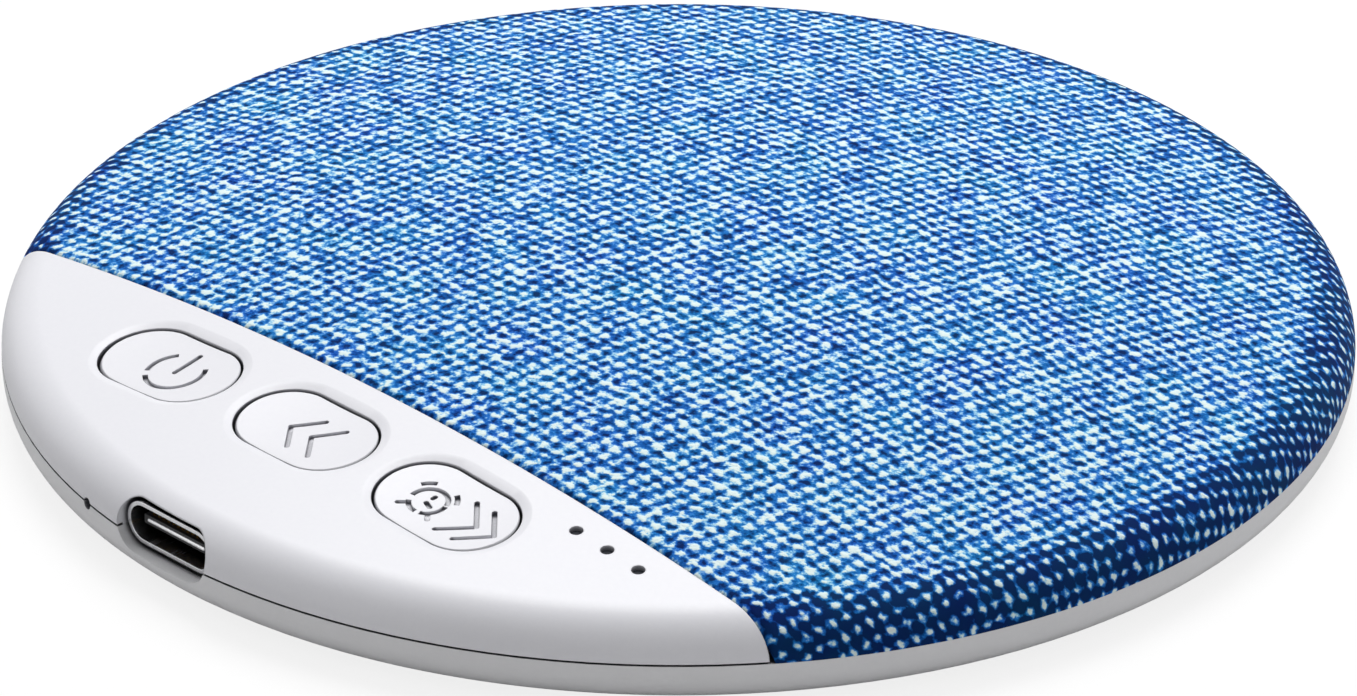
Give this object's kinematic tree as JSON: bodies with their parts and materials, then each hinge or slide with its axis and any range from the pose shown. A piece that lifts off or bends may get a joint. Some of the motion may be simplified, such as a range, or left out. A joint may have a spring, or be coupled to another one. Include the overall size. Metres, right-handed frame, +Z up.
{
  "type": "pillow speaker",
  "caption": "Slim round pillow speaker with a cloth-covered domed top, a control panel with long buttons and pinhole lamps, and a charging socket in its rim.",
  "frame": {"origin": "centre of the underside, level with the bottom of the rubber feet", "axes": "+Z up out of the cloth top, -Y towards the control panel and the charging socket, +X to the right as the panel is read"},
  "size_m": [0.098, 0.098, 0.0113],
  "materials": {
    "base_shell": "satin",
    "panel": "satin",
    "grille": "matte",
    "cloth": "knitted",
    "keys": "satin",
    "plungers": "matte",
    "switches": "satin",
    "board": "solder mask",
    "steel": "drawn",
    "black_plastic": "moulded",
    "gold": "plated",
    "chips": "moulded",
    "ferrite": "matte",
    "ceramic": "fired",
    "lamps": "clear",
    "smoked": "clear",
    "capsule": "plated",
    "boot": "matte",
    "foil": "laminated",
    "foam": "open cell",
    "connector": "moulded",
    "red_lead": "satin",
    "black_lead": "satin",
    "basket": "powder coated",
    "plated_iron": "zinc plated",
    "magnet": "nickel plated",
    "coil": "wound",
    "cone": "pressed",
    "surround": "matte",
    "terminals": "laminated",
    "screws": "plated",
    "feet": "matte"
  },
  "bodies": {
    "case": {"bottom_shell": "base_shell", "control_panel": "panel", "grille_plate": "grille", "fabric_cover": "cloth", "power_switch": "switches", "back_switch": "switches", "forward_switch": "switches", "main_board": "board", "port_shell": "steel", "port_tongue": "black_plastic", "port_contacts": "gold", "radio_chip": "chips", "amplifier_chip": "chips", "charger_chip": "chips", "crystal": "steel", "inductor": "ferrite", "chip_capacitors": "ceramic", "antenna": "ceramic", "timer_led_30": "lamps", "timer_led_60": "lamps", "timer_led_90": "lamps", "light_shield": "black_plastic", "light_guide": "smoked", "microphone": "capsule", "microphone_boot": "boot", "battery": "foil", "protection_board": "board", "battery_foam": "foam", "battery_socket": "connector", "battery_plug": "connector", "battery_lead_red": "red_lead", "battery_lead_black": "black_lead", "speaker_frame": "basket", "speaker_yoke": "plated_iron", "speaker_magnet": "magnet", "speaker_top_plate": "plated_iron", "surround": "surround", "speaker_gasket": "foam", "speaker_terminals": "terminals", "speaker_lead_red": "red_lead", "speaker_lead_black": "black_lead", "case_screws": "screws", "rubber_feet": "feet"},
    "power_key": {"power_button": "keys", "power_plunger": "plungers"},
    "back_key": {"back_button": "keys", "back_plunger": "plungers"},
    "forward_key": {"forward_button": "keys", "forward_plunger": "plungers"},
    "cone": {"speaker_cone": "cone", "voice_coil": "coil", "dust_cap": "cone"}
  },
  "joints": [
    {"name": "power_press", "type": "slide", "parent": "case", "child": "power_key", "axis": [0, 0, -1], "range_m": [0, 0.0003], "stiffness_N_per_m": 3000},
    {"name": "back_press", "type": "slide", "parent": "case", "child": "back_key", "axis": [0, 0, -1], "range_m": [0, 0.0003], "stiffness_N_per_m": 3000},
    {"name": "forward_press", "type": "slide", "parent": "case", "child": "forward_key", "axis": [0, 0, -1], "range_m": [0, 0.0003], "stiffness_N_per_m": 3000},
    {"name": "cone_travel", "type": "slide", "parent": "case", "child": "cone", "axis": [0, 0, 1], "range_m": [-0.0004, 0.0004], "stiffness_N_per_m": 1500, "deforming": ["surround"]}
  ]
}
